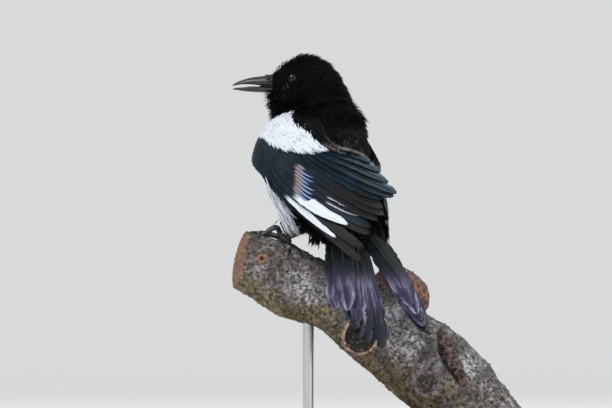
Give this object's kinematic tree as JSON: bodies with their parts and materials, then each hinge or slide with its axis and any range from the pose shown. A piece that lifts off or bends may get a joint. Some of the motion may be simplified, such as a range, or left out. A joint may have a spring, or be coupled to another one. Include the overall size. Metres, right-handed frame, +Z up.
{
  "type": "eurasian magpie on a display perch",
  "caption": "Black and white long-tailed crow-family bird gripping a cut, knotty branch, head turned to its left, on a flat wooden base with upright steel rods",
  "frame": {"origin": "middle of the underside of the stand's base", "axes": "+Z is up, +X runs along the branch towards its lower end and -Y faces the viewer, who sees the bird's back and left side"},
  "size_m": [0.2142, 0.2061, 0.2852],
  "materials": {
    "plumage_black": "soft black feathers, slightly glossy",
    "plumage_blue": "glossy blue-green wing feathers with white inner vanes",
    "tail_feathers": "glossy bronze-green, violet and blue-black tail feathers",
    "horn": "satin slate-black horn",
    "eye": "wet, dark eye",
    "scaly_leg": "scaled blackish skin",
    "bark": "weathered grey-brown bark with lichen and sawn orange wood",
    "stand_wood": "plain oiled wood",
    "stand_steel": "brushed rod"
  },
  "bodies": {
    "root": {"torso": "plumage_black", "neck": "plumage_black", "head": "plumage_black", "thigh_left": "plumage_black", "thigh_right": "plumage_black", "wing_left": "plumage_blue", "wing_right": "plumage_blue", "tail_left": "tail_feathers", "tail_right": "tail_feathers", "bill_upper": "horn", "bill_lower": "horn", "eye_left": "eye", "eye_right": "eye", "tarsus_left": "scaly_leg", "tarsus_right": "scaly_leg", "foot_left": "scaly_leg", "foot_right": "scaly_leg", "claw_left_1": "horn", "claw_left_2": "horn", "claw_left_3": "horn", "claw_left_4": "horn", "claw_right_1": "horn", "claw_right_2": "horn", "claw_right_3": "horn", "claw_right_4": "horn", "perch": "bark", "stand_base": "stand_wood", "stand_rod_tall": "stand_steel", "stand_rod_short": "stand_steel"}
  },
  "joints": []
}
